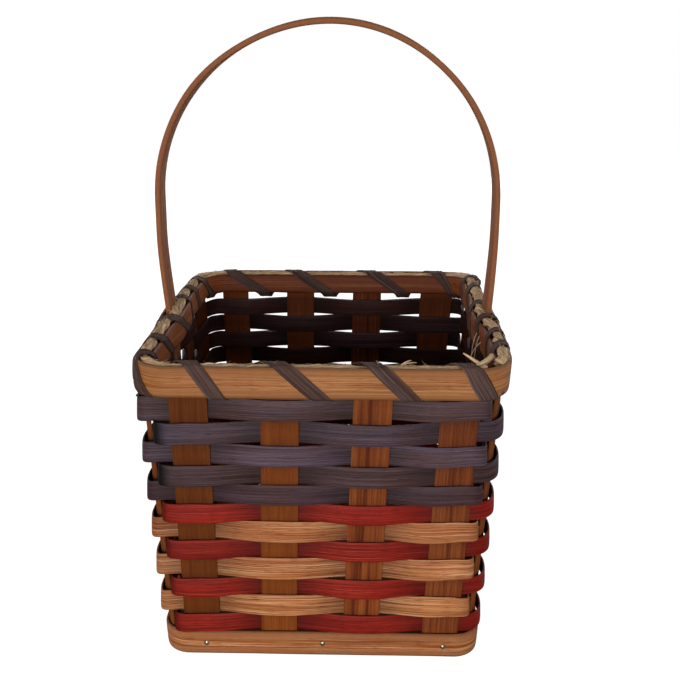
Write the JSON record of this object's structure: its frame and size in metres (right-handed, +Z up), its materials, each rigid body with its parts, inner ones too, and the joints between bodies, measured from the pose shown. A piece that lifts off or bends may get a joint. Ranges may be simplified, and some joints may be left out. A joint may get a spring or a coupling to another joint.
{
  "type": "woven basket",
  "caption": "Square splint basket woven from flat reed on a wooden base, with a lashed rim and a fixed bentwood hoop handle.",
  "frame": {"origin": "centre of the base board's underside, which is the resting plane z = 0", "axes": "+Z up; -Y towards the front wall seen in the picture; the handle's legs stand on the +X and -X walls"},
  "size_m": [0.165, 0.1642, 0.2788],
  "materials": {
    "board": "plain sanded board",
    "stake_reed": "brown stained flat reed",
    "purple_reed": "dark grey violet dyed reed",
    "red_reed": "dark red dyed reed",
    "natural_reed": "natural reed under a tan stain",
    "band_reed": "wide flat oval reed under a tan stain",
    "filler_grass": "twisted grass cord, dull",
    "lashing_reed": "dark grey violet dyed reed",
    "handle_wood": "bent hardwood, brown stain, soft sheen",
    "tack": "plain steel tack"
  },
  "bodies": {
    "root": {"base_board": "board", "bottom_band": "band_reed", "handle": "handle_wood", "rim_filler": "filler_grass", "rim_inner_band": "band_reed", "rim_lashing": "lashing_reed", "rim_outer_band": "band_reed", "row_01_purple": "purple_reed", "row_02_purple": "purple_reed", "row_03_purple": "purple_reed", "row_04_purple": "purple_reed", "row_05_purple": "purple_reed", "row_06_red": "red_reed", "row_07_natural": "natural_reed", "row_08_red": "red_reed", "row_09_natural": "natural_reed", "row_10_red": "red_reed", "row_11_natural": "natural_reed", "row_12_red": "red_reed", "row_under_rim": "purple_reed", "stake_back_1": "stake_reed", "stake_back_2": "stake_reed", "stake_back_3": "stake_reed", "stake_back_4": "stake_reed", "stake_front_1": "stake_reed", "stake_front_2": "stake_reed", "stake_front_3": "stake_reed", "stake_front_4": "stake_reed", "stake_left_1": "stake_reed", "stake_left_2": "stake_reed", "stake_left_3": "stake_reed", "stake_left_4": "stake_reed", "stake_right_1": "stake_reed", "stake_right_2": "stake_reed", "stake_right_3": "stake_reed", "stake_right_4": "stake_reed", "tack_back_1": "tack", "tack_back_2": "tack", "tack_back_3": "tack", "tack_front_1": "tack", "tack_front_2": "tack", "tack_front_3": "tack", "tack_left_1": "tack", "tack_left_2": "tack", "tack_left_3": "tack", "tack_right_1": "tack", "tack_right_2": "tack", "tack_right_3": "tack"}
  },
  "joints": []
}
